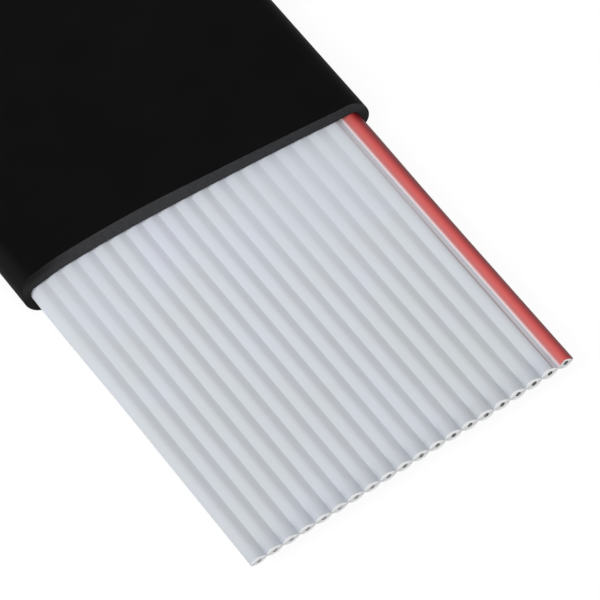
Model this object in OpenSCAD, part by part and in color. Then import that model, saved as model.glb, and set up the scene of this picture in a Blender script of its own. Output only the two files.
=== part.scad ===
// Jacketed flat ribbon cable, cut to a short sample with one end laid bare.
// X runs across the conductors, towards the coloured edge. Y runs along the cable, from the
// bare cut end to the far end of the jacket. Z is up, and the origin lies on the surface that
// the jacket rests on, under the middle of the cable.

/* [Ribbon] */
// Number of conductors side by side
ways = 20; // [10:1:26]
// Distance from one conductor to the next
pitch = 1.27; // [1.2:0.01:1.6]
// Thickness of the insulation over each conductor
ribbon_t = 0.89; // [0.8:0.01:1.1]
// Thickness of the web that joins two conductors
web_t = 0.3; // [0.2:0.01:0.4]

/* [Conductor] */
// Diameter of one wire strand
strand_d = 0.127; // [0.1:0.001:0.14]
// Number of strands laid round the middle one
outer_strands = 6; // [5:1:6]
// Gap between neighbouring strands
strand_gap = 0.004; // [0.002:0.001:0.01]
// Gap between the strands and the insulation
bore_gap = 0.006; // [0.004:0.001:0.02]

/* [Edge stripe] */
// Depth of the coloured layer on the edge conductor
stripe_t = 0.08; // [0.05:0.01:0.12]
// Gap between the coloured layer and the insulation under it
stripe_gap = 0.005; // [0.003:0.001:0.01]

/* [Jacket] */
// Wall of the jacket above and below the ribbon
face_wall = 0.87; // [0.6:0.01:1.5]
// Wall of the jacket beside the ribbon's edges
side_wall = 0.7; // [0.5:0.01:1.5]
// Gap between the ribbon and the inside of the jacket
jacket_gap = 0.035; // [0.02:0.005:0.1]

/* [Lengths] */
// Length of the whole sample
cable_len = 160; // [110:1:300]
// Length of ribbon laid bare, at the middle of the mouth
bare_len = 27.1; // [10:0.1:60]

/* [Mouth of the jacket] */
// Angle of the cut across the cable, seen from above
mouth_skew = 4.6; // [0:0.1:10]
// Depth by which the middle of the cut lies behind its two ends
mouth_hollow = 0.55; // [0.2:0.05:1.5]
// Angle by which the cut leans back towards its top
mouth_lean = 12; // [0:1:15]

/* [Hidden] */
$fn = 72;

// Ribbon: each lobe is the lens shared by two circles, as wide as the pitch
ribbon_w = ways * pitch;
lobe_r = (pitch * pitch + ribbon_t * ribbon_t) / (4 * ribbon_t);
lobe_shift = lobe_r - ribbon_t / 2;
edge_x = (ways - 1) * pitch / 2;
striped_way = ways;

// Conductor: one strand in the middle and a ring of strands round it
ring_r = (strand_d + strand_gap) * max(1, 0.5 / sin(180 / outer_strands));
bore_d = 2 * ring_r + strand_d + 2 * bore_gap;

// Jacket: a flat tube with half-round sides, fitted round the ribbon
cavity_w = ribbon_w + 2 * jacket_gap;
cavity_t = ribbon_t + 2 * jacket_gap;
jacket_w = cavity_w + 2 * side_wall;
jacket_t = cavity_t + 2 * face_wall;
mid_z = jacket_t / 2;

// Places along the cable
bare_end_y = -cable_len / 2;
far_end_y = cable_len / 2;
mouth_y = bare_end_y + bare_len;

// Mouth: a wide arc seen from above, whose chord is the jacket's width
mouth_r = (jacket_w * jacket_w / 4 + mouth_hollow * mouth_hollow) / (2 * mouth_hollow);
cut_allowance = 1;
jacket_front_y = mouth_y - mouth_hollow - jacket_w / 2 * tan(mouth_skew)
    - jacket_t / 2 * tan(mouth_lean) - cut_allowance;
cutter_h = 6 * jacket_t;

CONDUCTORS = [for (way = [1:ways]) str("conductor_", way < 10 ? "0" : "", way)];

// Distance of one conductor from the middle of the ribbon
function way_x(way) = (way - 1) * pitch - edge_x;

// A section drawn in X and Z, drawn out along the cable between two places
module along_cable(from_y, to_y) {
    translate([0, to_y, mid_z])
        rotate([90, 0, 0])
            linear_extrude(height = to_y - from_y)
                children();
}

// A flat section with half-round ends
module flat_oval(width, thickness) {
    square([width - thickness, thickness], center = true);
    for (side = [-1, 1])
        translate([side * (width - thickness) / 2, 0])
            circle(d = thickness);
}

// The lens of insulation round one conductor, with its surface lowered by a depth
module lobe(way, depth = 0) {
    translate([way_x(way), 0])
        intersection_for(side = [-1, 1])
            translate([0, side * lobe_shift])
                circle(r = lobe_r - depth);
}

// The flat web that runs from the first conductor to the last
module web(clearance = 0) {
    square([2 * edge_x, web_t + 2 * clearance], center = true);
}

// The section of the insulation, with a thinner lobe under the coloured layer
module ribbon_section() {
    difference() {
        union() {
            web();
            for (way = [1:ways])
                lobe(way, way == striped_way ? stripe_t + stripe_gap : 0);
        }
        for (way = [1:ways])
            translate([way_x(way), 0])
                circle(d = bore_d);
    }
}

// The section of the coloured layer, which wraps the edge lobe down to the web on both faces
module stripe_section() {
    difference() {
        lobe(striped_way);
        lobe(striped_way, stripe_t);
        web(stripe_gap);
    }
}

// The section of one bundle of strands
module conductor_section() {
    circle(d = strand_d);
    for (strand = [1:outer_strands])
        rotate(strand * 360 / outer_strands)
            translate([ring_r, 0])
                circle(d = strand_d);
}

// The blade that trims the jacket: its round side leaves the hollow, leaning mouth
module mouth_cutter() {
    translate([0, mouth_y, mid_z])
        rotate([0, 0, -mouth_skew])
            rotate([-mouth_lean, 0, 0])
                translate([0, -mouth_r, 0])
                    cylinder(r = mouth_r, h = cutter_h, center = true);
}

module jacket() {
    color([0.08, 0.08, 0.08])
        difference() {
            along_cable(jacket_front_y, far_end_y)
                difference() {
                    flat_oval(jacket_w, jacket_t);
                    flat_oval(cavity_w, cavity_t);
                }
            mouth_cutter();
        }
}

module ribbon_insulation() {
    color([0.79, 0.81, 0.84])
        along_cable(bare_end_y, far_end_y)
            ribbon_section();
}

module edge_stripe() {
    color([0.8, 0.3, 0.3])
        along_cable(bare_end_y, far_end_y)
            stripe_section();
}

module conductor(way) {
    color([0.62, 0.62, 0.64])
        translate([way_x(way), 0, 0])
            along_cable(bare_end_y, far_end_y)
                conductor_section();
}

jacket();
ribbon_insulation();
edge_stripe();
for (way = [1:ways])
    conductor(way);
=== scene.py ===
# %% [markdown]
# # A jacketed ribbon cable
#
# The real thing is a flat cable of twenty wires. Each wire is a bundle of seven thin tinned
# strands in a lobe of pale grey plastic, and the lobes are extruded side by side as one ribbon.
# A soft black jacket is extruded round the ribbon. This sample was cut short and its jacket was
# trimmed back, so the ribbon lies bare at one end.
#
# The CAD model gives every size and place. It is loaded first and is never moved. The pieces
# below are finer versions of its solids, and each one takes its place from the solid it covers.

# %% Load the frame
import math
import random

import bmesh
import bpy
from mathutils import Matrix, Vector


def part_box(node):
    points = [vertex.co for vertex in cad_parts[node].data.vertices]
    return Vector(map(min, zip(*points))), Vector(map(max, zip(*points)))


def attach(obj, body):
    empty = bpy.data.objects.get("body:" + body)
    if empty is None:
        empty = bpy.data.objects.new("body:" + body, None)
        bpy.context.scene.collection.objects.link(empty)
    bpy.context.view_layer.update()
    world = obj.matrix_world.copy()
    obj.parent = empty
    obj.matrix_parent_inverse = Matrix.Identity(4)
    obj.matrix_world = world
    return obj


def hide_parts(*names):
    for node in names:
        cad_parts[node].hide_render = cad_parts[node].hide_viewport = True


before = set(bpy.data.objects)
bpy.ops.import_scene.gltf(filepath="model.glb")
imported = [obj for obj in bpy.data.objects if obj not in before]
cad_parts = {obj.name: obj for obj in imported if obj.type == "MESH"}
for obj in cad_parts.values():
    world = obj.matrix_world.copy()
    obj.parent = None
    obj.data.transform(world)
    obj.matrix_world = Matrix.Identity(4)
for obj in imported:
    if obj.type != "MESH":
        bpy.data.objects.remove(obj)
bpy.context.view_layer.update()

MM = 0.001

# %% [markdown]
# ## Sizes read from the frame
#
# The boxes of the CAD solids give the outer sizes. The spacing of the wires follows from the
# first and the last of them. Only what no box can tell, such as the thickness of the thin web
# between two lobes, is written here as a size of its own.

# %% Sizes and places
WIRES = sorted(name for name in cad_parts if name.startswith("conductor_"))
JACKET_LOW, JACKET_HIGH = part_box("jacket")
RIBBON_LOW, RIBBON_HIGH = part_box("ribbon_insulation")


def middle_x(node):
    """The place of a CAD solid across the cable."""
    low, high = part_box(node)
    return (low.x + high.x) / 2


FIRST_X = middle_x(WIRES[0])
LAST_X = middle_x(WIRES[-1])
PITCH = (LAST_X - FIRST_X) / (len(WIRES) - 1)
MID_Z = (JACKET_LOW.z + JACKET_HIGH.z) / 2
CUT_Y = RIBBON_LOW.y
FAR_Y = RIBBON_HIGH.y
CABLE_LENGTH = FAR_Y - CUT_Y
RIBBON_THICK = RIBBON_HIGH.z - RIBBON_LOW.z
RIBBON_WIDE = PITCH * len(WIRES)

# Each lobe is the lens shared by two circles, as in the CAD section
LOBE_R = (PITCH ** 2 + RIBBON_THICK ** 2) / (4 * RIBBON_THICK)
LOBE_SHIFT = LOBE_R - RIBBON_THICK / 2
WEB_HALF = 0.15 * MM
BORE_R = 0.2 * MM
STRIPE_DEEP = 0.08 * MM
STRIPE_GAP = 0.005 * MM
print("wires", len(WIRES), "spacing in mm", round(PITCH / MM, 3), "ribbon thick", round(RIBBON_THICK / MM, 3))

# %% [markdown]
# ## Camera
#
# The photograph was taken from above and a little to the left of the cable's line, from far
# enough away that the wires hardly draw together. So the lens is long. The view was found by
# fitting the straight edges and the row of wire ends, and it is turned a little about its own
# line of sight.

# %% Camera
CAMERA_AIM = Vector((1.2, -64.47, 1.35)) * MM
CAMERA_AZIMUTH = math.radians(19.79)
CAMERA_HEIGHT = math.radians(54.35)
CAMERA_ROLL = math.radians(-16.53)
CAMERA_DISTANCE = 365.5 * MM
CAMERA_LENS = 330.0

look = Vector((
    math.sin(CAMERA_AZIMUTH) * math.cos(CAMERA_HEIGHT),
    math.cos(CAMERA_AZIMUTH) * math.cos(CAMERA_HEIGHT),
    -math.sin(CAMERA_HEIGHT),
))
level_side = look.cross(Vector((0, 0, 1))).normalized()
level_up = level_side.cross(look)
side = level_side * math.cos(CAMERA_ROLL) + level_up * math.sin(CAMERA_ROLL)
camera_up = side.cross(look)

bpy.ops.object.select_all(action="DESELECT")
bpy.ops.object.camera_add(location=CAMERA_AIM - look * CAMERA_DISTANCE)
camera = bpy.context.object
camera.name = "camera"
camera.rotation_mode = "QUATERNION"
camera.rotation_quaternion = Matrix((side, camera_up, -look)).transposed().to_quaternion()
camera.data.lens = CAMERA_LENS
camera.data.sensor_width = 36.0
camera.data.clip_start = 0.01
camera.data.clip_end = 20.0
bpy.context.scene.camera = camera
print("camera at mm", [round(value / MM, 1) for value in camera.location])

# %% [markdown]
# ## Helpers for modelling by hand
#
# Every operator works on what is selected, and the loaded solids are still selected. These
# helpers clear the selection, pick one piece, and step along the cable. Steps are short at the
# cut, where the plastic is pinched, and long in the straight part, which needs no detail.

# %% Helpers
def clear_selection():
    if bpy.context.object and bpy.context.object.mode != "OBJECT":
        bpy.ops.object.mode_set(mode="OBJECT")
    bpy.ops.object.select_all(action="DESELECT")


def pick(piece):
    clear_selection()
    piece.select_set(True)
    bpy.context.view_layer.objects.active = piece


def settle(piece):
    """Puts the piece's place into its mesh, so that its object sits at the origin."""
    pick(piece)
    bpy.ops.object.transform_apply(location=True, rotation=True, scale=True)


def stations(first, growth, longest, total):
    """Places along a length, close together at its start and further apart beyond."""
    places = [0.0]
    step = first
    while places[-1] + 1.5 * step < total:
        places.append(places[-1] + step)
        step = min(step * growth, longest)
    places.append(total)
    return places


def extrude_faces_along(places):
    """Draws the selected faces out along the cable, one ring for each place."""
    for near, far in zip(places, places[1:]):
        bpy.ops.mesh.extrude_region_move(TRANSFORM_OT_translate={"value": (0, far - near, 0)})


def extrude_edges_along(places):
    """Draws the selected edges out along the cable, one ring for each place."""
    for near, far in zip(places, places[1:]):
        bpy.ops.mesh.extrude_edges_move(TRANSFORM_OT_translate={"value": (0, far - near, 0)})


def upright_circle(corners, radius, x, y, fill="NOTHING"):
    """A circle that stands across the cable, with its middle at the height of the wires."""
    clear_selection()
    bpy.ops.mesh.primitive_circle_add(
        vertices=corners,
        radius=radius,
        fill_type=fill,
        location=(x, y, MID_Z),
        rotation=(math.pi / 2, 0, 0),
    )
    piece = bpy.context.object
    settle(piece)
    return piece


def outward(piece):
    """Merges doubles and turns every face outwards."""
    pick(piece)
    bpy.ops.object.mode_set(mode="EDIT")
    bpy.ops.mesh.select_all(action="SELECT")
    bpy.ops.mesh.remove_doubles(threshold=0.0005 * MM)
    bpy.ops.mesh.normals_make_consistent(inside=False)
    bpy.ops.object.mode_set(mode="OBJECT")


def triangles(piece):
    return sum(len(face.vertices) - 2 for face in piece.data.polygons)


def finish_piece(piece, name, nodes):
    """Names a piece, lets it ride on the cable's one body and hides the CAD solids it stands for."""
    piece.name = name
    piece.data.name = name
    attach(piece, "root")
    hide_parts(*nodes)
    print(name, "has", triangles(piece), "triangles")


# %% [markdown]
# ## The shape of the cut
#
# A blade went through the ribbon. Its path bows back a little towards the first wire, and its
# face leans there, so the lower half of those wire ends lies further back. The blade also pinched
# the thin webs and pushed the ridge of each lobe aside, which is why the grooves look deeper and
# wider over the last millimetre. All this is written as small functions of place, and the ribbon,
# the stripe and the strands use them, so that they stay flush with each other.

# %% Functions for the cut and the lobes
CUT_LEAN_FIRST = 0.14
CUT_BOW = 0.165 * MM
CUT_REACH = 1.3 * MM
PINCH_START = 0.5 * MM
PINCH_REACH = 1.6 * MM
PUSH_REACH = 1.5 * MM
PUSH_ASIDE = 0.17 * MM
UPPER_WEB_HALF = 0.05 * MM
LOWER_WEB_HALF = 0.09 * MM
WEB_BLEND = 0.065 * MM
RIDGE_SOFT = 0.15 * MM
RIDGE_ASIDE = 0.02 * MM
NOSE_HALF = 0.04 * MM
NOSE_REACH = 0.575 * MM
NOSE_POWER = 4.0
UNDER_NOSE_REACH = NOSE_REACH - STRIPE_DEEP - STRIPE_GAP
UNDER_NOSE_POWER = 2.5
NOSE_FLARE = 0.09 * MM
MOUTH_Y = CUT_Y + 26.5 * MM
MOUTH_SLANT = -math.tan(math.radians(4.58))
MOUTH_HOLLOW = 0.56 * MM


def ease(value):
    """Goes smoothly from 0 to 1 as the value does."""
    value = min(max(value, 0.0), 1.0)
    return value * value * (3 - 2 * value)


def cut_shift(x, y, z):
    """How far the leaning blade leaves a point behind the square end."""
    across = (x - FIRST_X) / (LAST_X - FIRST_X)
    lean = CUT_LEAN_FIRST * (1 - ease(across * 1.2))
    depth = MID_Z + RIBBON_THICK / 2 - z
    bow = CUT_BOW * max(1 - 3.5 * across ** 4, 0)
    return max(lean * depth + bow, 0) * (1 - ease((y - CUT_Y) / CUT_REACH))


def smooth_max(one, other, blend):
    """The larger of two values, with a soft corner where they meet."""
    near = max(blend - abs(one - other), 0) / blend
    return max(one, other) + near * near * blend / 4


def pinch(y):
    """How much of the blade's pinch is felt at a place along the cable."""
    return 1 - ease((y - CUT_Y - PINCH_START) / PINCH_REACH)


def lens_half(offset, sunk=0.0):
    """Half the height of a lobe's lens at an offset from its wire, as the blade shows it."""
    radius = LOBE_R - sunk
    return math.sqrt(max(radius ** 2 - offset ** 2, 0)) - LOBE_SHIFT


def pushed_aside(offset, way):
    """The offset that a point had before the ridge over it was pushed towards the first wire."""
    return offset + way * (1 - (2 * offset / PITCH) ** 2)


def roof_half(offset, sunk=0.0):
    """The same with straight flanks and a soft ridge a little off the middle, as the die leaves it."""
    fall = math.hypot(PITCH / 2, RIDGE_SOFT) - RIDGE_SOFT
    slope = (RIBBON_THICK / 2 - WEB_HALF) / fall
    aside = pushed_aside(offset, RIDGE_ASIDE)
    return RIBBON_THICK / 2 - sunk - slope * (math.hypot(aside, RIDGE_SOFT) - RIDGE_SOFT)


def edge_half(offset, sunk, reach, power):
    """Half the height of an edge lobe. Past the red wire it closes to a round nose at its reach."""
    keep = math.sqrt(max(1 - (max(offset, 0) / reach) ** power, 0))
    return max(min(lens_half(offset, sunk), roof_half(offset, sunk)) * keep, NOSE_HALF)


def mouth_line(x):
    """Where the middle of the jacket's mouth lies along the cable."""
    return MOUTH_Y + MOUTH_SLANT * x + MOUTH_HOLLOW * (1 - (2 * x / RIBBON_WIDE) ** 2)


def pressed(x, y):
    """How far the hot jacket has pressed the lobes flat, most beside the coloured edge."""
    near = ease((y - MOUTH_Y + 12 * MM) / (6 * MM)) * (1 - ease((y - MOUTH_Y - 2 * MM) / (6 * MM)))
    beside = ease((x + 1 * MM) / (7 * MM))
    first = ease((-7.2 * MM - x) / (1.6 * MM))
    lips = ease((y - mouth_line(x) + 1.1 * MM) / (1.0 * MM))
    flat = 0.02 + 0.7 * beside + 0.3 * first
    groove = ease((x - LAST_X + 0.95 * PITCH) / (0.45 * PITCH))
    return near * (flat + (0.85 - flat) * lips) * (1 - groove)


def flare(y):
    """How far the ribbon's two edges spread where they enter the jacket, from 0 to 1."""
    return ease((y - MOUTH_Y + 12 * MM) / (10 * MM)) * (1 - ease((y - MOUTH_Y - 2 * MM) / (6 * MM)))


def lobe_half(way, offset, y, upper):
    """Half the height of the ribbon's surface at an offset from one of its wires."""
    last = way == len(WIRES) - 1
    sunk = STRIPE_DEEP + STRIPE_GAP if last else 0.0
    outer = (way == 0 and offset < 0) or (last and offset > 0)
    if outer:
        return edge_half(offset, sunk, UNDER_NOSE_REACH, UNDER_NOSE_POWER)
    lens = lens_half(offset, sunk)
    roof = roof_half(offset, sunk)
    share = pinch(y)
    if upper and not last:
        push = PUSH_ASIDE * (1 - ease((y - CUT_Y) / PUSH_REACH))
        lens = lens_half(pushed_aside(offset, push))
    pinched = UPPER_WEB_HALF if upper else LOWER_WEB_HALF
    web = WEB_HALF + (pinched - WEB_HALF) * share
    height = smooth_max(roof + (lens - roof) * share, web, WEB_BLEND)
    if last:
        return height
    top = RIBBON_THICK / 2
    return top - (top - height) * (1 - pressed(FIRST_X + way * PITCH + offset, y))


# %% [markdown]
# ## The ribbon
#
# One lobe is drawn first: a circle for the wire's bore, with a second ring extruded from it and
# laid out as the lobe's lens. An Array modifier sets twenty of them side by side, and merging
# joins them at their webs. The whole end face is then extruded along the cable, ring by ring,
# which makes the lobes, the webs and the bores in one go. An extrusion is how the real ribbon is
# made too. A last pass in code pinches and leans the cut end.

# %% Lay out one lobe of the ribbon
LOBE_CORNERS = 32
ARC_STEPS = LOBE_CORNERS // 2 - 2


def lobe_corner(step):
    """The offset and height of one corner of a lobe's outline, counted from its right side."""
    if step == 0:
        return PITCH / 2, 0.0
    if step == LOBE_CORNERS // 2:
        return -PITCH / 2, 0.0
    upper = step < LOBE_CORNERS // 2
    turn = step - 1 if upper else LOBE_CORNERS - 1 - step
    offset = PITCH / 2 * math.cos(math.pi * turn / ARC_STEPS)
    height = max(lens_half(offset), WEB_HALF)
    return offset, height if upper else -height


ribbon = upright_circle(LOBE_CORNERS, BORE_R, FIRST_X, CUT_Y)
bpy.ops.object.mode_set(mode="EDIT")
bpy.ops.mesh.select_all(action="SELECT")
bpy.ops.mesh.extrude_edges_move(TRANSFORM_OT_translate={"value": (0, 0, 0)})
bpy.ops.transform.resize(value=(2, 1, 2), center_override=(FIRST_X, CUT_Y, MID_Z))
section = bmesh.from_edit_mesh(ribbon.data)
for corner in section.verts:
    if corner.select:
        turn = math.atan2(corner.co.z - MID_Z, corner.co.x - FIRST_X)
        offset, height = lobe_corner(round(turn / math.tau * LOBE_CORNERS) % LOBE_CORNERS)
        corner.co.x = FIRST_X + offset
        corner.co.z = MID_Z + height
bmesh.update_edit_mesh(ribbon.data)
bpy.ops.object.mode_set(mode="OBJECT")
print("one lobe has", len(ribbon.data.polygons), "faces")

# %% Set the lobes side by side and draw them out
bpy.ops.object.modifier_add(type="ARRAY")
row = ribbon.modifiers[-1]
row.count = len(WIRES)
row.use_relative_offset = False
row.use_constant_offset = True
row.constant_offset_displace = (PITCH, 0, 0)
row.use_merge_vertices = True
row.merge_threshold = 0.001 * MM
bpy.ops.object.modifier_apply(modifier=row.name)

RIBBON_PLACES = stations(0.05 * MM, 1.35, 6 * MM, CABLE_LENGTH)
bpy.ops.object.mode_set(mode="EDIT")
bpy.ops.mesh.select_all(action="SELECT")
extrude_faces_along(RIBBON_PLACES)
bpy.ops.object.mode_set(mode="OBJECT")
outward(ribbon)
print("ribbon rings", len(RIBBON_PLACES))

# %% [markdown]
# The edge lobe carries the red layer, so its own surface lies lower by the layer's depth, and it
# ends in a round nose, where the others run into a web. The first lobe ends in a narrow one.

# %% Pinch, lean and trim the ribbon
def shape_ribbon(piece):
    for corner in piece.data.vertices:
        point = corner.co
        way = min(max(round((point.x - FIRST_X) / PITCH), 0), len(WIRES) - 1)
        wire_x = FIRST_X + way * PITCH
        offset = point.x - wire_x
        rise = point.z - MID_Z
        if math.hypot(offset, rise) > 1.3 * BORE_R:
            if way == len(WIRES) - 1 and offset > 0:
                offset *= UNDER_NOSE_REACH / (PITCH / 2)
                point.x = wire_x + offset * (1 + NOSE_FLARE * flare(point.y) / UNDER_NOSE_REACH)
            if way == 0 and offset < 0:
                point.x = wire_x + offset * (1 + NOSE_FLARE * flare(point.y) / (PITCH / 2))
            if abs(rise) > 0.01 * MM:
                point.z = MID_Z + math.copysign(lobe_half(way, offset, point.y, rise > 0), rise)
        point.y += cut_shift(point.x, point.y, point.z)


shape_ribbon(ribbon)
low = min(corner.co.x for corner in ribbon.data.vertices)
high = max(corner.co.x for corner in ribbon.data.vertices)
print("ribbon from", round(low / MM, 3), "to", round(high / MM, 3), "mm across")

# %% [markdown]
# The ribbon is what makes the cable a cable. The jacket, the red layer and the strands lie along it.

# %% Finish the ribbon
finish_piece(ribbon, "ribbon", ["ribbon_insulation"])

# %% [markdown]
# ## The red layer
#
# The edge wire is marked in red. The colour is a thin layer that wraps the edge lobe from the
# groove on the top, round the nose, to the groove underneath. It is modelled as an open strip
# that follows the lobe, and a Solidify modifier gives it its depth.

# %% Draw the red layer
STRIPE_CORNERS = 48
STRIPE_LIP = math.sqrt(LOBE_R ** 2 - (LOBE_SHIFT + WEB_HALF) ** 2)

stripe = upright_circle(STRIPE_CORNERS, PITCH / 2, LAST_X, CUT_Y)
bpy.ops.object.mode_set(mode="EDIT")
bpy.ops.mesh.select_all(action="DESELECT")
outline = bmesh.from_edit_mesh(stripe.data)
for corner in outline.verts:
    corner.select = corner.co.x < LAST_X - STRIPE_LIP * 1.001
outline.select_flush_mode()
bmesh.update_edit_mesh(stripe.data)
bpy.ops.mesh.delete(type="VERT")
outline = bmesh.from_edit_mesh(stripe.data)
for corner in outline.verts:
    offset = corner.co.x - LAST_X
    rise = corner.co.z - MID_Z
    if offset > 0:
        offset *= NOSE_REACH / (PITCH / 2)
        corner.co.x = LAST_X + offset
    height = edge_half(offset, 0.0, NOSE_REACH, NOSE_POWER)
    if abs(rise) > 0.01 * MM:
        corner.co.z = MID_Z + math.copysign(height, rise)
bmesh.update_edit_mesh(stripe.data)
bpy.ops.mesh.select_all(action="SELECT")
extrude_edges_along(RIBBON_PLACES)
bpy.ops.mesh.select_all(action="SELECT")
bpy.ops.mesh.normals_make_consistent(inside=False)
bpy.ops.object.mode_set(mode="OBJECT")
nose = max(stripe.data.polygons, key=lambda face: face.center.x)
if nose.normal.x < 0:
    bpy.ops.object.mode_set(mode="EDIT")
    bpy.ops.mesh.select_all(action="SELECT")
    bpy.ops.mesh.flip_normals()
    bpy.ops.object.mode_set(mode="OBJECT")

# %% Give the red layer its depth
bpy.ops.object.modifier_add(type="SOLIDIFY")
depth = stripe.modifiers[-1]
depth.thickness = STRIPE_DEEP
depth.offset = -1.0
depth.use_even_offset = True
bpy.ops.object.modifier_apply(modifier=depth.name)
for corner in stripe.data.vertices:
    point = corner.co
    point.x += max(point.x - LAST_X, 0) * NOSE_FLARE * flare(point.y) / NOSE_REACH
    point.y += cut_shift(point.x, point.y, point.z)
finish_piece(stripe, "red_layer", ["edge_stripe"])

# %% [markdown]
# ## The strands
#
# A wire is one strand with six laid round it, and the ring makes a full turn about every 20 mm.
# Seven filled circles are extruded together along the cable, and each step is turned a little
# about the wire's line. One wire is modelled like this and copied. Every copy is turned by its
# own amount, because no two wire ends look alike, and its end is cut by the leaning blade.

# %% Model one wire
STRAND_R = 0.0635 * MM
STRAND_RING = 0.131 * MM
STRAND_CORNERS = 10
RING_STRANDS = 6
LAY_LENGTH = 20 * MM
LAY_STEPS = 96

clear_selection()
circles = []
for strand in range(RING_STRANDS + 1):
    turn = math.tau * strand / RING_STRANDS
    reach = STRAND_RING if strand < RING_STRANDS else 0.0
    bpy.ops.mesh.primitive_circle_add(
        vertices=STRAND_CORNERS,
        radius=STRAND_R,
        fill_type="NGON",
        location=(FIRST_X + reach * math.cos(turn), CUT_Y, MID_Z + reach * math.sin(turn)),
        rotation=(math.pi / 2, 0, 0),
    )
    circles.append(bpy.context.object)
clear_selection()
for circle in circles:
    circle.select_set(True)
bpy.context.view_layer.objects.active = circles[0]
bpy.ops.object.join()
wire = bpy.context.object
settle(wire)

lay_step = CABLE_LENGTH / LAY_STEPS
lay_turn = math.tau * lay_step / LAY_LENGTH
bpy.ops.object.mode_set(mode="EDIT")
bpy.ops.mesh.select_all(action="SELECT")
for step in range(LAY_STEPS):
    bpy.ops.mesh.extrude_region_move(TRANSFORM_OT_translate={"value": (0, lay_step, 0)})
    bpy.ops.transform.rotate(
        value=lay_turn, orient_axis="Y", center_override=(FIRST_X, CUT_Y + (step + 1) * lay_step, MID_Z)
    )
bpy.ops.object.mode_set(mode="OBJECT")
outward(wire)
print("one wire has", triangles(wire), "triangles")

# %% [markdown]
# The blade leaves each strand with a slightly raised middle and a smeared rim. An inset on each
# end face, moved out by a few hundredths of a millimetre, gives it that form.

# %% Round the strand ends
def round_ends(piece, end_y, way_out):
    pick(piece)
    bpy.ops.object.mode_set(mode="EDIT")
    bpy.ops.mesh.select_all(action="DESELECT")
    shape = bmesh.from_edit_mesh(piece.data)
    for face in shape.faces:
        face.select = abs(face.calc_center_median().y - end_y) < 0.001 * MM
    bmesh.update_edit_mesh(piece.data)
    bpy.ops.mesh.inset(thickness=0.02 * MM, use_individual=True)
    bpy.ops.transform.translate(value=(0, way_out * 0.012 * MM, 0))
    bpy.ops.object.mode_set(mode="OBJECT")


round_ends(wire, CUT_Y, -1)
round_ends(wire, FAR_Y, 1)

# %% Copy the wire to every bore
END_REACH = 1.0 * MM
draw = random.Random(7)


def cut_wire(piece, recess):
    """Sets the strands' ends back to the blade's face, with a little unevenness."""
    for corner in piece.data.vertices:
        point = corner.co
        near = 1 - ease((point.y - CUT_Y) / END_REACH)
        point.y += cut_shift(point.x, point.y, point.z) + recess * near


strand_pieces = []
for way, node in enumerate(WIRES):
    if way:
        pick(wire)
        bpy.ops.object.duplicate()
    else:
        pick(wire)
    piece = bpy.context.object
    strand_pieces.append(piece)
for way, piece in enumerate(strand_pieces):
    pick(piece)
    bpy.ops.transform.rotate(
        value=draw.uniform(0, math.tau), orient_axis="Y", center_override=(FIRST_X, CUT_Y, MID_Z)
    )
    bpy.ops.transform.translate(value=(way * PITCH, 0, 0))
    settle(piece)
    cut_wire(piece, draw.uniform(0.0, 0.05) * MM)
    finish_piece(piece, WIRES[way].replace("conductor", "strands"), [WIRES[way]])

# %% [markdown]
# ## The jacket
#
# The jacket is a flat tube with half-round sides. Its cut face is drawn first, as a flat oval
# for the cavity with a second, larger one extruded from it, and the ring between them is then
# drawn out along the cable. The mouth isn't square: it was trimmed at a slant, its middle lies a
# little behind its sides, and the blade leant back towards the top on the left. The rings near
# the mouth follow that line and grow straight towards the far end.

# %% Functions for the jacket's outline
MOUTH_LEAN = 0.217
MOUTH_LEAN_CHANGE = -0.2
UPPER_LEAN = 0.1
MIDDLE_LEAN = 0.15
MOUTH_WAVE = -0.085 * MM
CORNER_DROP = 0.2 * MM
JACKET_GAP = 0.035 * MM
FACE_STEPS = 36
SIDE_STEPS = 24
OVAL_CORNERS = 2 * (FACE_STEPS + SIDE_STEPS)
JACKET_WIDE = JACKET_HIGH.x - JACKET_LOW.x
JACKET_THICK = JACKET_HIGH.z - JACKET_LOW.z
CAVITY_WIDE = RIBBON_WIDE + 2 * JACKET_GAP
CAVITY_THICK = RIBBON_THICK + 2 * JACKET_GAP


def mouth_place(x, z):
    """Where the mouth's rim lies along the cable, for a point of the section."""
    across = x / (RIBBON_WIDE / 2)
    rise = z - MID_Z
    lean = MOUTH_LEAN + MOUTH_LEAN_CHANGE * across + (UPPER_LEAN if rise > 0 else 0)
    middle = MIDDLE_LEAN * ease(1 - abs(x + 3 * MM) / (9 * MM))
    wave = MOUTH_WAVE * math.sin(3.07 * across + 0.72)
    upper = ease((rise + 0.9 * MM) / (1.2 * MM))
    corner = CORNER_DROP * upper * (0.5 * ease((x - 11 * MM) / (2 * MM)) - ease((-9.8 * MM - x) / (3 * MM)))
    plain = mouth_line(x) + lean * rise
    return plain + middle * max(rise - CAVITY_THICK / 2, 0) + wave + corner


def oval_corner(turn, wide, thick):
    """A corner of a flat oval. The turn says which of its corners, counted from the right side."""
    step = round(turn / math.tau * OVAL_CORNERS) % OVAL_CORNERS
    radius = thick / 2
    reach = wide / 2 - radius
    half_side = SIDE_STEPS // 2
    side_turn = math.pi / SIDE_STEPS
    face_start = (half_side, half_side + FACE_STEPS + SIDE_STEPS)
    for sign, start in zip((1, -1), face_start):
        if start <= step <= start + FACE_STEPS:
            return sign * reach * (1 - 2 * (step - start) / FACE_STEPS), sign * radius
    if half_side < step < face_start[1]:
        angle = math.pi / 2 + (step - half_side - FACE_STEPS) * side_turn
        return -reach + radius * math.cos(angle), radius * math.sin(angle)
    angle = step * side_turn if step < half_side else (step - OVAL_CORNERS) * side_turn
    return reach + radius * math.cos(angle), radius * math.sin(angle)


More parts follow.
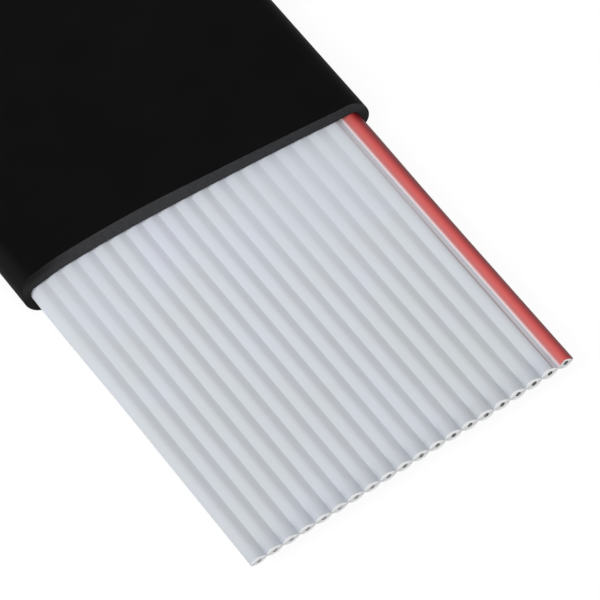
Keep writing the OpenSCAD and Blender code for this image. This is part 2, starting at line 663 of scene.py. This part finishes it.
def lay_oval(corners, wide, thick):
    for corner in corners:
        x, rise = oval_corner(math.atan2(corner.co.z - MID_Z, corner.co.x), wide, thick)
        corner.co.x = x
        corner.co.z = MID_Z + rise


# %% Draw out the jacket
JACKET_PLACES = stations(0.1 * MM, 1.4, 6 * MM, FAR_Y - MOUTH_Y)

jacket = upright_circle(OVAL_CORNERS, CAVITY_THICK / 2, 0, MOUTH_Y)
bpy.ops.object.mode_set(mode="EDIT")
bpy.ops.mesh.select_all(action="SELECT")
bpy.ops.mesh.extrude_edges_move(TRANSFORM_OT_translate={"value": (0, 0, 0)})
bpy.ops.transform.resize(value=(2, 1, 2), center_override=(0, MOUTH_Y, MID_Z))
section = bmesh.from_edit_mesh(jacket.data)
lay_oval([corner for corner in section.verts if corner.select], JACKET_WIDE, JACKET_THICK)
lay_oval([corner for corner in section.verts if not corner.select], CAVITY_WIDE, CAVITY_THICK)
for corner in section.verts:
    if not corner.select and corner.co.x < 0:
        corner.co.x *= 1 + 2 * NOSE_FLARE / CAVITY_WIDE
bmesh.update_edit_mesh(jacket.data)
bpy.ops.mesh.select_all(action="SELECT")
extrude_faces_along(JACKET_PLACES)
bpy.ops.object.mode_set(mode="OBJECT")
outward(jacket)

# %% Soften the rims and trim the mouth
RIM_BEVEL = 0.04 * MM

pick(jacket)
bpy.ops.object.mode_set(mode="EDIT")
bpy.ops.mesh.select_mode(type="EDGE")
shape = bmesh.from_edit_mesh(jacket.data)
for edge in shape.edges:
    edge.select_set(len(edge.link_faces) == 2 and edge.calc_face_angle(0) > 1.0)
print("rim edges", sum(edge.select for edge in shape.edges))
bmesh.update_edit_mesh(jacket.data)
bpy.ops.mesh.bevel(offset=RIM_BEVEL, segments=3, profile=0.5, affect="EDGES")
bpy.ops.mesh.select_mode(type="VERT")
bpy.ops.object.mode_set(mode="OBJECT")

straight = FAR_Y - MOUTH_Y
for corner in jacket.data.vertices:
    point = corner.co
    share = (point.y - MOUTH_Y) / straight
    point.y = mouth_place(point.x, point.z) * (1 - share) + FAR_Y * share
finish_piece(jacket, "flat_jacket", ["jacket"])

# %% [markdown]
# Cut faces look different from the extruded skin, so each piece gets a second material for
# them. They are found by their place, before the materials are assigned.

# %% Find the cut faces
CUT_HALO = 0.04 * MM


def cut_faces(piece, reach):
    """The faces that look along the cable and lie at one of its ends."""
    found = []
    for face in piece.data.polygons:
        if abs(face.normal.y) > 0.6 and reach(face.center):
            found.append(face.index)
    return found


ribbon_cut = cut_faces(ribbon, lambda place: place.y < CUT_Y + 0.5 * MM or place.y > FAR_Y - 0.01 * MM)
for face in ribbon.data.polygons:
    place = face.center
    if place.y - cut_shift(place.x, CUT_Y, place.z) < CUT_Y + CUT_HALO:
        ribbon_cut.append(face.index)
jacket_cut = cut_faces(jacket, lambda place: True)
stripe_cut = cut_faces(stripe, lambda place: place.y < CUT_Y + 0.5 * MM and place.z < MID_Z)
wire_cut = {piece.name: cut_faces(piece, lambda place: True) for piece in strand_pieces}
print("cut faces: ribbon", len(ribbon_cut), "jacket", len(jacket_cut))

# %% [markdown]
# ## Shading groups
#
# All the plastic here was pushed through a die, which leaves very fine streaks along the cable
# and a soft grain. One node group makes both, and each plastic uses it with its own values. It
# reads Object coordinates, because every finished piece sits at the origin.

# %% Group for extruded plastic
def add_socket(group, name, kind, direction, value=None):
    socket = group.interface.new_socket(name=name, in_out=direction, socket_type=kind)
    if value is not None:
        socket.default_value = value


def extruded_group():
    group = bpy.data.node_groups.new("extruded_plastic", "ShaderNodeTree")
    add_socket(group, "Streaks per metre", "NodeSocketFloat", "INPUT", 6000.0)
    add_socket(group, "Grains per metre", "NodeSocketFloat", "INPUT", 9000.0)
    add_socket(group, "Streak share", "NodeSocketFloat", "INPUT", 0.5)
    add_socket(group, "Height", "NodeSocketFloat", "OUTPUT")
    add_socket(group, "Mottle", "NodeSocketFloat", "OUTPUT")
    nodes = group.nodes
    links = group.links
    given = nodes.new("NodeGroupInput")
    made = nodes.new("NodeGroupOutput")
    place = nodes.new("ShaderNodeTexCoord")
    stretch = nodes.new("ShaderNodeMapping")
    stretch.inputs["Scale"].default_value = (1.0, 0.02, 1.0)
    streak = nodes.new("ShaderNodeTexNoise")
    streak.inputs["Detail"].default_value = 3.0
    grain = nodes.new("ShaderNodeTexNoise")
    grain.inputs["Detail"].default_value = 2.0
    patch = nodes.new("ShaderNodeTexNoise")
    patch.inputs["Scale"].default_value = 260.0
    patch.inputs["Detail"].default_value = 4.0
    blend = nodes.new("ShaderNodeMix")
    links.new(place.outputs["Object"], stretch.inputs["Vector"])
    links.new(stretch.outputs["Vector"], streak.inputs["Vector"])
    links.new(place.outputs["Object"], grain.inputs["Vector"])
    links.new(place.outputs["Object"], patch.inputs["Vector"])
    links.new(given.outputs["Streaks per metre"], streak.inputs["Scale"])
    links.new(given.outputs["Grains per metre"], grain.inputs["Scale"])
    links.new(given.outputs["Streak share"], blend.inputs[0])
    links.new(grain.outputs["Fac"], blend.inputs[2])
    links.new(streak.outputs["Fac"], blend.inputs[3])
    links.new(blend.outputs[0], made.inputs["Height"])
    links.new(patch.outputs["Fac"], made.inputs["Mottle"])
    return group


EXTRUDED = extruded_group()

# %% Helpers for materials
def begin_material(name):
    material = bpy.data.materials.new(name)
    material.use_nodes = True
    nodes = material.node_tree.nodes
    return material, nodes, material.node_tree.links, nodes["Principled BSDF"]


def place_group(nodes, streaks, grains, share):
    group = nodes.new("ShaderNodeGroup")
    group.node_tree = EXTRUDED
    group.inputs["Streaks per metre"].default_value = streaks
    group.inputs["Grains per metre"].default_value = grains
    group.inputs["Streak share"].default_value = share
    return group


def add_relief(nodes, links, shader, height, deep, strength):
    """Turns a height into a bump of a real depth on the shader's normal."""
    bump = nodes.new("ShaderNodeBump")
    bump.inputs["Strength"].default_value = strength
    bump.inputs["Distance"].default_value = deep
    links.new(height, bump.inputs["Height"])
    links.new(bump.outputs["Normal"], shader.inputs["Normal"])


def vary(nodes, links, value, low, high, socket):
    """Feeds a socket with a value that runs from low to high over the surface."""
    spread = nodes.new("ShaderNodeMapRange")
    spread.inputs["To Min"].default_value = low
    spread.inputs["To Max"].default_value = high
    spread.inputs["From Min"].default_value = 0.3
    spread.inputs["From Max"].default_value = 0.7
    links.new(value, spread.inputs["Value"])
    links.new(spread.outputs["Result"], socket)


def two_tone(nodes, links, value, low, high, one, other, socket):
    """Feeds a colour socket that goes from one colour to the other between two values."""
    share = nodes.new("ShaderNodeMapRange")
    share.inputs["From Min"].default_value = low
    share.inputs["From Max"].default_value = high
    mix = nodes.new("ShaderNodeMix")
    mix.data_type = "RGBA"
    mix.inputs[6].default_value = (*one, 1)
    mix.inputs[7].default_value = (*other, 1)
    links.new(value, share.inputs["Value"])
    links.new(share.outputs["Result"], mix.inputs[0])
    links.new(mix.outputs[2], socket)
    return mix


def object_place(nodes, links, axis):
    """One of the object coordinates, X, Y or Z."""
    place = nodes.new("ShaderNodeTexCoord")
    split = nodes.new("ShaderNodeSeparateXYZ")
    links.new(place.outputs["Object"], split.inputs["Vector"])
    return split.outputs[axis]


def corner_mask(nodes, links, x_range, z_range):
    """Is 1 past the second X and the second Z, and fades to 0 towards the first of each."""
    mask = nodes.new("ShaderNodeMath")
    mask.operation = "MULTIPLY"
    for socket, axis, (start, end) in zip(mask.inputs, "XZ", (x_range, z_range)):
        fade = nodes.new("ShaderNodeMapRange")
        fade.inputs["From Min"].default_value = start
        fade.inputs["From Max"].default_value = end
        links.new(object_place(nodes, links, axis), fade.inputs["Value"])
        links.new(fade.outputs["Result"], socket)
    return mask.outputs[0]


def ramp_by_place(nodes, links, value, origin, stops):
    """A colour that follows a place. Each stop holds its distance from the origin in mm."""
    first = stops[0][0] * MM
    last = stops[-1][0] * MM
    share = nodes.new("ShaderNodeMapRange")
    share.inputs["From Min"].default_value = origin + first
    share.inputs["From Max"].default_value = origin + last
    links.new(value, share.inputs["Value"])
    ramp = nodes.new("ShaderNodeValToRGB")
    ramp.color_ramp.interpolation = "B_SPLINE"
    while len(ramp.color_ramp.elements) < len(stops):
        ramp.color_ramp.elements.new(0.5)
    for stop, (offset, colour) in zip(ramp.color_ramp.elements, stops):
        stop.position = (offset * MM - first) / (last - first)
        stop.color = (*colour, 1)
    links.new(share.outputs["Result"], ramp.inputs["Fac"])
    return ramp.outputs["Color"]


# %% [markdown]
# ## Materials
#
# The ribbon is pale blue-grey plastic with a soft sheen. Its colour is painted darker over the last two
# millimetres as painted shade, and lighter towards the mouth as painted light. Next to the red
# layer a reddish-brown hair line is painted onto the neighbouring lobe. It is a narrow band
# of colour at one place across the cable, fainter towards the mouth. The cut faces are paler, but
# dull in a band level with the wires, where the blade smeared them.

# %% Grey insulation
BLUE_GREY = (0.645, 0.673, 0.735)
GREEN_GREY = (0.637, 0.672, 0.702)
# Painted shade and light along the cable: the ribbon's colour is darker near the cut and lighter towards the
# mouth.
SHADE_ALONG_CABLE_STOPS = [
    (0.2, (0.82, 0.82, 0.82)),
    (1.3, (0.865, 0.865, 0.865)),
    (2.4, (0.895, 0.895, 0.89)),
    (5, (0.9, 0.9, 0.895)),
    (12, (0.925, 0.925, 0.92)),
    (18, (0.945, 0.943, 0.945)),
    (22, (0.95, 0.947, 0.96)),
    (27, (0.97, 0.965, 0.99)),
]
SMEAR_STOPS = [
    (-0.36, (0.98, 0.98, 0.98)),
    (-0.22, (0.9, 0.9, 0.9)),
    (-0.09, (0.7, 0.7, 0.705)),
    (0.04, (0.7, 0.7, 0.705)),
    (0.13, (0.93, 0.93, 0.93)),
    (0.22, (1.0, 1.0, 1.0)),
]
# A reddish-brown hair line painted on the flank of the lobe next to the red layer, fainter towards the mouth.
RED_HAIRLINE_X = LAST_X - PITCH + 0.3 * MM
RED_HAIRLINE_HALF = 0.09 * MM
RED_HAIRLINE_COLOUR = (0.37, 0.31, 0.325)
RED_HAIRLINE_FADE = (CUT_Y + 12 * MM, CUT_Y + 17 * MM)
RED_HAIRLINE_LEFT = 0.45


def insulation_material():
    material, nodes, links, shader = begin_material("grey_insulation")
    marks = place_group(nodes, 5000.0, 12000.0, 0.6)
    plain = two_tone(nodes, links, marks.outputs["Mottle"], 0.35, 0.65, GREEN_GREY, BLUE_GREY, shader.inputs["Base Color"])
    tone = nodes.new("ShaderNodeMix")
    tone.data_type = "RGBA"
    tone.blend_type = "MULTIPLY"
    tone.inputs[0].default_value = 1.0
    links.new(plain.outputs[2], tone.inputs[6])
    links.new(ramp_by_place(nodes, links, object_place(nodes, links, "Y"), CUT_Y, SHADE_ALONG_CABLE_STOPS), tone.inputs[7])
    shader.inputs["Specular IOR Level"].default_value = 0.35
    shader.inputs["IOR"].default_value = 1.5
    vary(nodes, links, marks.outputs["Mottle"], 0.42, 0.5, shader.inputs["Roughness"])
    across = object_place(nodes, links, "X")
    aside = nodes.new("ShaderNodeMath")
    aside.operation = "SUBTRACT"
    aside.inputs[1].default_value = RED_HAIRLINE_X
    links.new(across, aside.inputs[0])
    away = nodes.new("ShaderNodeMath")
    away.operation = "ABSOLUTE"
    links.new(aside.outputs[0], away.inputs[0])
    line = nodes.new("ShaderNodeMapRange")
    line.inputs["From Min"].default_value = RED_HAIRLINE_HALF
    line.inputs["From Max"].default_value = 0.2 * RED_HAIRLINE_HALF
    links.new(away.outputs[0], line.inputs["Value"])
    faded = nodes.new("ShaderNodeMapRange")
    faded.inputs["From Min"].default_value, faded.inputs["From Max"].default_value = RED_HAIRLINE_FADE
    faded.inputs["To Min"].default_value = 1.0
    faded.inputs["To Max"].default_value = RED_HAIRLINE_LEFT
    links.new(object_place(nodes, links, "Y"), faded.inputs["Value"])
    amount = nodes.new("ShaderNodeMath")
    amount.operation = "MULTIPLY"
    links.new(line.outputs["Result"], amount.inputs[0])
    links.new(faded.outputs["Result"], amount.inputs[1])
    red_hairline = nodes.new("ShaderNodeMix")
    red_hairline.data_type = "RGBA"
    red_hairline.inputs[7].default_value = (*RED_HAIRLINE_COLOUR, 1)
    links.new(amount.outputs[0], red_hairline.inputs[0])
    links.new(tone.outputs[2], red_hairline.inputs[6])
    links.new(red_hairline.outputs[2], shader.inputs["Base Color"])
    add_relief(nodes, links, shader, marks.outputs["Height"], 0.004 * MM, 0.4)
    return material


def insulation_cut_material():
    material, nodes, links, shader = begin_material("insulation_cut_face")
    marks = place_group(nodes, 9000.0, 14000.0, 0.2)
    clean = two_tone(nodes, links, marks.outputs["Height"], 0.35, 0.65, (0.73, 0.74, 0.75), (0.83, 0.835, 0.84), shader.inputs["Base Color"])
    tone = nodes.new("ShaderNodeMix")
    tone.data_type = "RGBA"
    tone.blend_type = "MULTIPLY"
    tone.inputs[0].default_value = 1.0
    links.new(clean.outputs[2], tone.inputs[6])
    links.new(ramp_by_place(nodes, links, object_place(nodes, links, "Z"), MID_Z, SMEAR_STOPS), tone.inputs[7])
    links.new(tone.outputs[2], shader.inputs["Base Color"])
    shader.inputs["Roughness"].default_value = 0.6
    shader.inputs["Specular IOR Level"].default_value = 0.3
    add_relief(nodes, links, shader, marks.outputs["Height"], 0.01 * MM, 0.5)
    return material


# %% [markdown]
# The red layer is thin at its lip in the groove, where the grey shines through as a pale pink
# line that is painted paler still as painted light against the groove's shade. The red is painted
# darker towards the outer side of the lobe as painted shade. The blade dragged grey plastic over the lower
# half of its cut edge.

# %% Red layer
# Painted light at the pale lip and painted shade towards the lobe's outer side.
RED_AND_SHADE_STOPS = [
    (-0.6, (0.95, 0.82, 0.83)),
    (-0.54, (0.92, 0.74, 0.75)),
    (-0.46, (0.55, 0.22, 0.22)),
    (-0.36, (0.5, 0.13, 0.13)),
    (-0.15, (0.64, 0.115, 0.105)),
    (0.12, (0.56, 0.065, 0.065)),
    (0.34, (0.25, 0.012, 0.018)),
    (0.57, (0.12, 0.006, 0.01)),
]


def red_material():
    material, nodes, links, shader = begin_material("red_layer")
    marks = place_group(nodes, 7000.0, 12000.0, 0.7)
    across = object_place(nodes, links, "X")
    links.new(ramp_by_place(nodes, links, across, LAST_X, RED_AND_SHADE_STOPS), shader.inputs["Base Color"])
    shader.inputs["Specular IOR Level"].default_value = 0.3
    vary(nodes, links, marks.outputs["Mottle"], 0.36, 0.48, shader.inputs["Roughness"])
    add_relief(nodes, links, shader, marks.outputs["Height"], 0.004 * MM, 0.4)
    return material


# %% [markdown]
# The jacket is a soft black plastic that reflects very little. Its left side is painted a shade
# greyer as a painted sheen along its rounded edge. Its cut faces are rougher and greyer still, with fine drag
# marks from the blade, and they darken towards the left corner, where the skin rolled over the edge.

# %% Black jacket
def jacket_material():
    material, nodes, links, shader = begin_material("black_jacket")
    marks = place_group(nodes, 2600.0, 6000.0, 0.35)
    black = two_tone(nodes, links, marks.outputs["Mottle"], 0.3, 0.7, (0.0019, 0.0019, 0.002), (0.0031, 0.0031, 0.0031), shader.inputs["Base Color"])
    across = object_place(nodes, links, "X")
    # Painted sheen: the jacket's left edge is painted a shade greyer.
    painted_sheen = two_tone(nodes, links, across, JACKET_LOW.x + 0.5 * MM, JACKET_LOW.x + 1.3 * MM, (0.0075, 0.0075, 0.0076), (0, 0, 0), shader.inputs["Base Color"])
    links.new(black.outputs[2], painted_sheen.inputs[7])
    shader.inputs["Specular IOR Level"].default_value = 0.034
    vary(nodes, links, marks.outputs["Mottle"], 0.56, 0.6, shader.inputs["Roughness"])
    add_relief(nodes, links, shader, marks.outputs["Height"], 0.012 * MM, 0.6)
    return material


RIM_STOPS = [
    (0.25, (0.28, 0.28, 0.29)),
    (1.2, (0.45, 0.45, 0.46)),
    (3.3, (0.82, 0.82, 0.84)),
    (7.5, (0.92, 0.93, 0.95)),
    (14, (0.85, 0.87, 0.9)),
    (20, (0.78, 0.8, 0.83)),
    (25, (0.62, 0.64, 0.67)),
]
ROLLED_SKIN = (0.004, 0.004, 0.004)


def jacket_cut_material():
    material, nodes, links, shader = begin_material("jacket_cut_face")
    marks = place_group(nodes, 3000.0, 7000.0, 0.3)
    clean = two_tone(nodes, links, marks.outputs["Height"], 0.35, 0.65, (0.028, 0.028, 0.029), (0.046, 0.046, 0.047), shader.inputs["Base Color"])
    place = nodes.new("ShaderNodeTexCoord")
    split = nodes.new("ShaderNodeSeparateXYZ")
    links.new(place.outputs["Object"], split.inputs["Vector"])
    low = two_tone(nodes, links, split.outputs["Z"], MID_Z, MID_Z + 0.6 * MM, (0.014, 0.014, 0.014), (0.03, 0.03, 0.03), shader.inputs["Base Color"])
    links.new(clean.outputs[2], low.inputs[7])
    tone = nodes.new("ShaderNodeMix")
    tone.data_type = "RGBA"
    tone.blend_type = "MULTIPLY"
    tone.inputs[0].default_value = 1.0
    links.new(low.outputs[2], tone.inputs[6])
    links.new(ramp_by_place(nodes, links, split.outputs["X"], JACKET_LOW.x, RIM_STOPS), tone.inputs[7])
    rolled = nodes.new("ShaderNodeMix")
    rolled.data_type = "RGBA"
    rolled.inputs[7].default_value = (*ROLLED_SKIN, 1)
    links.new(tone.outputs[2], rolled.inputs[6])
    corner = corner_mask(
        nodes, links, (JACKET_LOW.x + 4.5 * MM, JACKET_LOW.x + 1.5 * MM), (MID_Z + 0.75 * MM, MID_Z + 1.1 * MM)
    )
    links.new(corner, rolled.inputs[0])
    links.new(rolled.outputs[2], shader.inputs["Base Color"])
    shader.inputs["Roughness"].default_value = 0.75
    shader.inputs["Specular IOR Level"].default_value = 0.15
    add_relief(nodes, links, shader, marks.outputs["Height"], 0.02 * MM, 0.6)
    return material


# %% [markdown]
# The strands are tinned copper. Along their length they are bright, but the sheared ends are
# dull and dark, as cut metal that isn't polished. The blade wiped plastic down over the first
# wires, so only the lower part of their ends shows metal.

# %% Tinned strands
WIPED_PLASTIC = (0.6, 0.6, 0.6)


def strand_material():
    material, nodes, links, shader = begin_material("tinned_strand")
    marks = place_group(nodes, 20000.0, 30000.0, 0.5)
    shader.inputs["Base Color"].default_value = (0.42, 0.42, 0.44, 1)
    shader.inputs["Metallic"].default_value = 1.0
    vary(nodes, links, marks.outputs["Height"], 0.32, 0.5, shader.inputs["Roughness"])
    add_relief(nodes, links, shader, marks.outputs["Height"], 0.002 * MM, 0.3)
    return material


def strand_cut_material():
    material, nodes, links, shader = begin_material("strand_cut_end")
    marks = place_group(nodes, 20000.0, 7000.0, 0.0)
    dark = two_tone(nodes, links, marks.outputs["Height"], 0.42, 0.6, (0.02, 0.02, 0.02), (0.28, 0.275, 0.27), shader.inputs["Base Color"])
    wiped = corner_mask(
        nodes, links, (FIRST_X + 12 * PITCH, FIRST_X + 5 * PITCH), (MID_Z - 0.1 * MM, MID_Z + 0.02 * MM)
    )
    smear = nodes.new("ShaderNodeMix")
    smear.data_type = "RGBA"
    smear.inputs[7].default_value = (*WIPED_PLASTIC, 1)
    links.new(wiped, smear.inputs[0])
    links.new(dark.outputs[2], smear.inputs[6])
    links.new(smear.outputs[2], shader.inputs["Base Color"])
    bare_metal = nodes.new("ShaderNodeMapRange")
    bare_metal.inputs["To Min"].default_value = 0.7
    bare_metal.inputs["To Max"].default_value = 0.0
    links.new(wiped, bare_metal.inputs["Value"])
    links.new(bare_metal.outputs["Result"], shader.inputs["Metallic"])
    shader.inputs["Roughness"].default_value = 0.5
    add_relief(nodes, links, shader, marks.outputs["Height"], 0.008 * MM, 0.6)
    return material


# %% Assign the materials
def dress(piece, skin, cut=None, faces=()):
    piece.data.materials.clear()
    piece.data.materials.append(skin)
    if cut:
        piece.data.materials.append(cut)
        for index in faces:
            piece.data.polygons[index].material_index = 1


def smooth(piece, degrees):
    pick(piece)
    bpy.ops.object.shade_smooth_by_angle(angle=math.radians(degrees))


insulation_cut = insulation_cut_material()
dress(ribbon, insulation_material(), insulation_cut, ribbon_cut)
dress(stripe, red_material(), insulation_cut, stripe_cut)
dress(jacket, jacket_material(), jacket_cut_material(), jacket_cut)
strand_skin = strand_material()
strand_cut = strand_cut_material()
for piece in strand_pieces:
    dress(piece, strand_skin, strand_cut, wire_cut[piece.name])
for piece in (ribbon, stripe, jacket, *strand_pieces):
    smooth(piece, 40)

# %% [markdown]
# ## Floor, background and light
#
# The sample lies on plain white. The floor is a large pale sheet that keeps the cable's shadow,
# and what the camera sees of it is lifted towards white by a little light of its own. The world
# is a soft even light. A wide lamp from the upper left gives each lobe a bright left side and a
# quieter right side.

# %% Floor and world
FLOOR_SIZE = 6.0

clear_selection()
bpy.ops.mesh.primitive_plane_add(size=FLOOR_SIZE, location=(0, 0, JACKET_LOW.z - 0.01 * MM))
floor = bpy.context.object
floor.name = "floor"


def looking_rays(nodes, links):
    """Is 1 for what the camera sees, straight or in a reflection or through something clear."""
    rays = nodes.new("ShaderNodeLightPath")
    value = rays.outputs["Is Camera Ray"]
    for name in ("Is Glossy Ray", "Is Transmission Ray"):
        either = nodes.new("ShaderNodeMath")
        either.operation = "MAXIMUM"
        links.new(value, either.inputs[0])
        links.new(rays.outputs[name], either.inputs[1])
        value = either.outputs[0]
    return value


def floor_material():
    material, nodes, links, shader = begin_material("white_floor")
    shader.inputs["Roughness"].default_value = 0.9
    shader.inputs["Specular IOR Level"].default_value = 0.0
    shader.inputs["Emission Color"].default_value = (1, 1, 1, 1)
    looks = looking_rays(nodes, links)
    for socket, seen, unseen in (("Base Color", 0.12, 0.86), ("Emission Strength", 0.9, 0.0)):
        level = nodes.new("ShaderNodeMapRange")
        level.inputs["To Min"].default_value = unseen
        level.inputs["To Max"].default_value = seen
        links.new(looks, level.inputs["Value"])
        links.new(level.outputs["Result"], shader.inputs[socket])
    return material


floor.data.materials.append(floor_material())

WORLD_LEVEL = 0.53
world = bpy.data.worlds.new("soft_world")
bpy.context.scene.world = world
world.use_nodes = True
world_nodes = world.node_tree.nodes
world_links = world.node_tree.links
backdrop = world_nodes["Background"]
strength = world_nodes.new("ShaderNodeMapRange")
strength.inputs["To Min"].default_value = WORLD_LEVEL
strength.inputs["To Max"].default_value = 1.0
world_links.new(looking_rays(world_nodes, world_links), strength.inputs["Value"])
backdrop.inputs["Color"].default_value = (1, 1, 1, 1)
world_links.new(strength.outputs["Result"], backdrop.inputs["Strength"])

# %% Lamps
def soft_lamp(name, azimuth, height, level, size):
    """A wide lamp that looks at the bare end. Its level is what it adds to a white sheet facing it."""
    distance = 0.9
    aim = Vector((0, CUT_Y + 15 * MM, MID_Z))
    turn = math.radians(azimuth)
    rise = math.radians(height)
    away = Vector((math.sin(turn) * math.cos(rise), math.cos(turn) * math.cos(rise), math.sin(rise)))
    clear_selection()
    bpy.ops.object.light_add(type="AREA", location=aim + away * distance)
    lamp = bpy.context.object
    lamp.name = name
    lamp.rotation_euler = away.to_track_quat("Z", "Y").to_euler()
    lamp.data.shape = "DISK"
    lamp.data.size = size
    lamp.data.energy = level * math.pi ** 2 * distance ** 2
    print(name, "gives", round(lamp.data.energy, 2), "W")


soft_lamp("left_lamp", -85, 40, 0.335, 0.5)
soft_lamp("front_lamp", 190, 40, 0.42, 0.7)

# %% Colour management
bpy.context.scene.view_settings.view_transform = "Standard"
